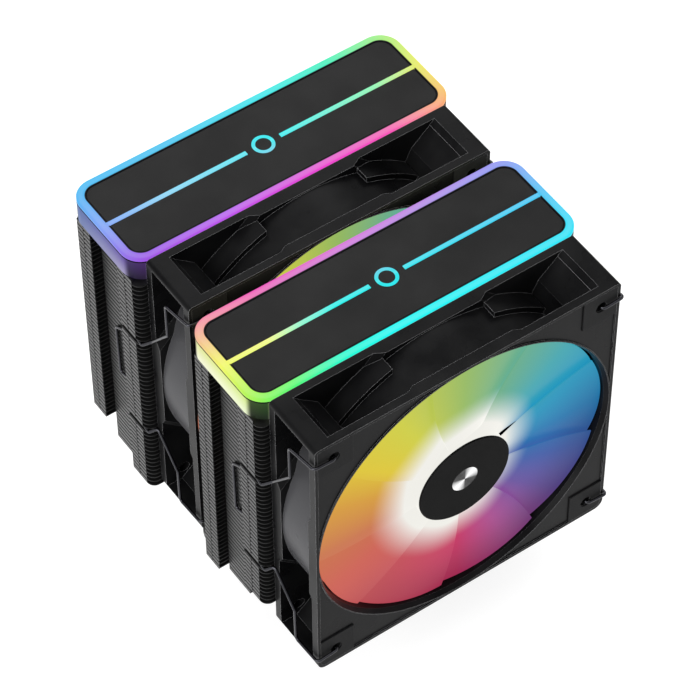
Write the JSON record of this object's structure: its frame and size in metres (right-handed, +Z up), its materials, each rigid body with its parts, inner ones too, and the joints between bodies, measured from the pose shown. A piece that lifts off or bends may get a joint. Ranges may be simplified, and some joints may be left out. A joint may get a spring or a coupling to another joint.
{
  "type": "processor air cooler",
  "caption": "Twin fin towers on heat pipes with two round-duct fans, wire clips, light-up top covers and a sprung mounting bar over a flat contact base.",
  "frame": {"origin": "centre of the base's flat contact face", "axes": "+Z up from the processor through the covers; the front fan faces -Y; +X along the covers' long sides"},
  "size_m": [0.1288, 0.138, 0.1603],
  "materials": {
    "fins": "thin black-coated sheet, satin",
    "pipes": "black coated, satin",
    "contact": "nickel plated, finely machined",
    "block": "black anodised, satin",
    "steel_black": "black zinc, satin",
    "steel_bright": "bright, turned",
    "spring_wire": "drawn wire",
    "clip_wire": "black drawn wire, glossy highlights",
    "cover_panel": "fine-textured, matt",
    "light_guide": "milky diffuser, lit from inside",
    "tray": "moulded, matt",
    "board": "printed circuit board",
    "lamp": "clear resin",
    "frame": "glass-filled nylon, fine grain",
    "pads": "soft, matt",
    "blades": "milky, translucent, lit from the hub",
    "hub_cap": "matt disc",
    "hub_disc": "spun metal",
    "magnet": "bonded ferrite",
    "bush": "sintered bronze",
    "copper": "enamelled winding wire",
    "core": "stacked laminations"
  },
  "bodies": {
    "cooler": {"base_plate": "contact", "base_block": "block", "mounting_bar": "steel_black", "bar_screws": "steel_bright", "front_fins": "fins", "rear_fins": "fins", "cover_screws": "steel_bright", "cover_lamps": "lamp", "fan_lamps": "lamp", "heat_pipe_1": "pipes", "heat_pipe_2": "pipes", "heat_pipe_3": "pipes", "heat_pipe_4": "pipes", "heat_pipe_5": "pipes", "heat_pipe_6": "pipes", "front_cover_light_guide": "light_guide", "front_cover_panel": "cover_panel", "front_cover_ring": "light_guide", "front_cover_tray": "tray", "front_cover_board": "board", "rear_cover_light_guide": "light_guide", "rear_cover_panel": "cover_panel", "rear_cover_ring": "light_guide", "rear_cover_tray": "tray", "rear_cover_board": "board", "front_fan_frame": "frame", "front_fan_corner_pads": "pads", "front_fan_bush": "bush", "front_fan_stator_core": "core", "front_fan_coils": "copper", "front_fan_motor_board": "board", "front_fan_clip_left": "clip_wire", "front_fan_clip_right": "clip_wire", "middle_fan_frame": "frame", "middle_fan_corner_pads": "pads", "middle_fan_bush": "bush", "middle_fan_stator_core": "core", "middle_fan_coils": "copper", "middle_fan_motor_board": "board", "middle_fan_clip_left": "clip_wire", "middle_fan_clip_right": "clip_wire", "left_screw_spring": "spring_wire", "right_screw_spring": "spring_wire"},
    "front_rotor": {"front_fan_impeller": "blades", "front_fan_hub_cap": "hub_cap", "front_fan_hub_disc": "hub_disc", "front_fan_yoke": "steel_bright", "front_fan_magnet": "magnet", "front_fan_shaft": "steel_bright"},
    "middle_rotor": {"middle_fan_impeller": "blades", "middle_fan_hub_cap": "hub_cap", "middle_fan_hub_disc": "hub_disc", "middle_fan_yoke": "steel_bright", "middle_fan_magnet": "magnet", "middle_fan_shaft": "steel_bright"},
    "left_sleeve": {"left_screw_sleeve": "steel_bright"},
    "left_screw": {"left_captive_screw": "steel_bright"},
    "right_sleeve": {"right_screw_sleeve": "steel_bright"},
    "right_screw": {"right_captive_screw": "steel_bright"}
  },
  "joints": [
    {"name": "front_fan_spin", "type": "hinge", "parent": "cooler", "child": "front_rotor", "pos_m": [0, -0.06905, 0.1003], "axis": [0, 1, 0], "continuous": true},
    {"name": "middle_fan_spin", "type": "hinge", "parent": "cooler", "child": "middle_rotor", "pos_m": [0, 0.00165, 0.1003], "axis": [0, 1, 0], "continuous": true},
    {"name": "left_screw_travel", "type": "slide", "parent": "cooler", "child": "left_sleeve", "axis": [0, 0, 1], "range_m": [-0.003, 0], "stiffness_N_per_m": 2500, "springref_m": 0.002, "deforming": ["left_screw_spring"]},
    {"name": "left_screw_turn", "type": "hinge", "parent": "left_sleeve", "child": "left_screw", "pos_m": [-0.0415, 0, 0.02], "axis": [0, 0, 1], "continuous": true},
    {"name": "right_screw_travel", "type": "slide", "parent": "cooler", "child": "right_sleeve", "axis": [0, 0, 1], "range_m": [-0.003, 0], "stiffness_N_per_m": 2500, "springref_m": 0.002, "deforming": ["right_screw_spring"]},
    {"name": "right_screw_turn", "type": "hinge", "parent": "right_sleeve", "child": "right_screw", "pos_m": [0.0415, 0, 0.02], "axis": [0, 0, 1], "continuous": true}
  ]
}
